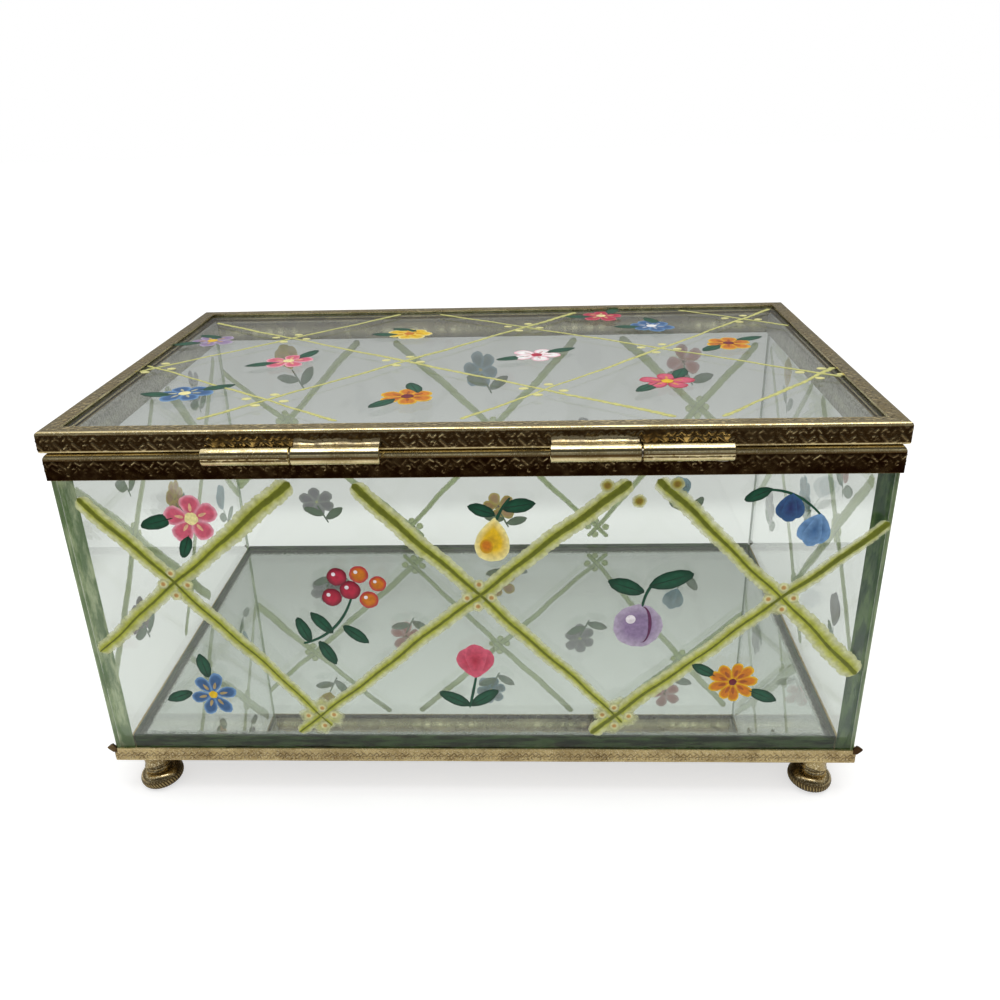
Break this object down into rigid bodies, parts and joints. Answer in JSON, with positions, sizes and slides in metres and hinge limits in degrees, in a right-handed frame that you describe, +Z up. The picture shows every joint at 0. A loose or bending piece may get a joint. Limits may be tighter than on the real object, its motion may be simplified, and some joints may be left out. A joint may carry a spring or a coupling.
{
  "type": "glass casket box",
  "caption": "Low box of clear glass plates in embossed brass channels, with a mirror floor, turned feet and a lid on knuckle hinges, for papers and keepsakes.",
  "frame": {"origin": "middle of the box's bounding box, on the surface that the feet stand on", "axes": "+Z up, +X along the hinge line, -Y out of the hinge side and +Y out of the opening side"},
  "size_m": [0.16, 0.1044, 0.0843],
  "materials": {
    "brass_channel": "embossed strip, lacquered and tarnished",
    "turned_brass": "bright, worn",
    "pin_steel": "drawn wire",
    "clear_glass": "clear float glass with green edges, painted outside",
    "mirror_silver": "silvered, spotted at its edges",
    "backing_card": "coated grey card"
  },
  "bodies": {
    "casket": {"base_channel_back": "brass_channel", "base_channel_right": "brass_channel", "base_channel_front": "brass_channel", "base_channel_left": "brass_channel", "base_mirror_glass": "clear_glass", "mirror_silver": "mirror_silver", "mirror_backing_card": "backing_card", "foot_back_left": "turned_brass", "foot_back_right": "turned_brass", "foot_front_left": "turned_brass", "foot_front_right": "turned_brass", "wall_glass_back": "clear_glass", "wall_glass_right": "clear_glass", "wall_glass_front": "clear_glass", "wall_glass_left": "clear_glass", "rim_channel_back": "brass_channel", "rim_channel_right": "brass_channel", "rim_channel_front": "brass_channel", "rim_channel_left": "brass_channel", "body_knuckle_left": "turned_brass", "body_knuckle_right": "turned_brass", "hinge_pin_left": "pin_steel", "hinge_pin_right": "pin_steel"},
    "lid": {"lid_glass": "clear_glass", "lid_channel_back": "brass_channel", "lid_channel_right": "brass_channel", "lid_channel_front": "brass_channel", "lid_channel_left": "brass_channel", "lid_knuckle_left": "turned_brass", "lid_knuckle_right": "turned_brass"}
  },
  "joints": [
    {"name": "lid_hinge", "type": "hinge", "parent": "casket", "child": "lid", "pos_m": [0, -0.0505, 0.07998], "axis": [1, 0, 0], "range_deg": [0, 180]}
  ]
}
